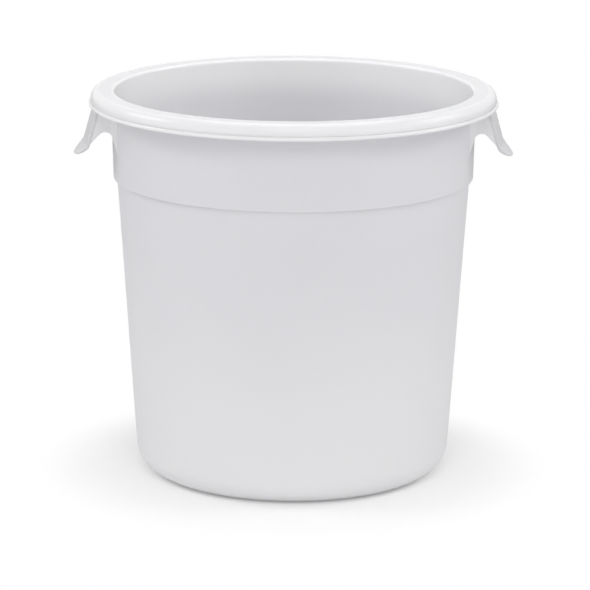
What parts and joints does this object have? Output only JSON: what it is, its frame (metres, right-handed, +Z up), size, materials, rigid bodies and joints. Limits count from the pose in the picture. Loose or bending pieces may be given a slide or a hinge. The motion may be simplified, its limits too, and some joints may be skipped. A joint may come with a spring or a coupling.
{
  "type": "round food tub",
  "caption": "Round open tub of translucent white plastic with a tapered wall, a collar, a rolled rim and a moulded lift handle on each side.",
  "frame": {"origin": "centre of the base, on the surface that the tub stands on", "axes": "+Z up along the tub's axis, X through the two handles, -Y towards the viewer of the picture"},
  "size_m": [0.3594, 0.333, 0.317],
  "materials": {
    "natural_plastic": "satin, translucent"
  },
  "bodies": {
    "root": {"floor_panel": "natural_plastic", "foot_ring": "natural_plastic", "base_corner": "natural_plastic", "tapered_wall": "natural_plastic", "collar_step": "natural_plastic", "collar_wall": "natural_plastic", "rim_top": "natural_plastic", "rim_skirt": "natural_plastic", "rim_bead": "natural_plastic", "left_tab": "natural_plastic", "left_lip": "natural_plastic", "left_front_web": "natural_plastic", "left_back_web": "natural_plastic", "right_tab": "natural_plastic", "right_lip": "natural_plastic", "right_front_web": "natural_plastic", "right_back_web": "natural_plastic"}
  },
  "joints": []
}
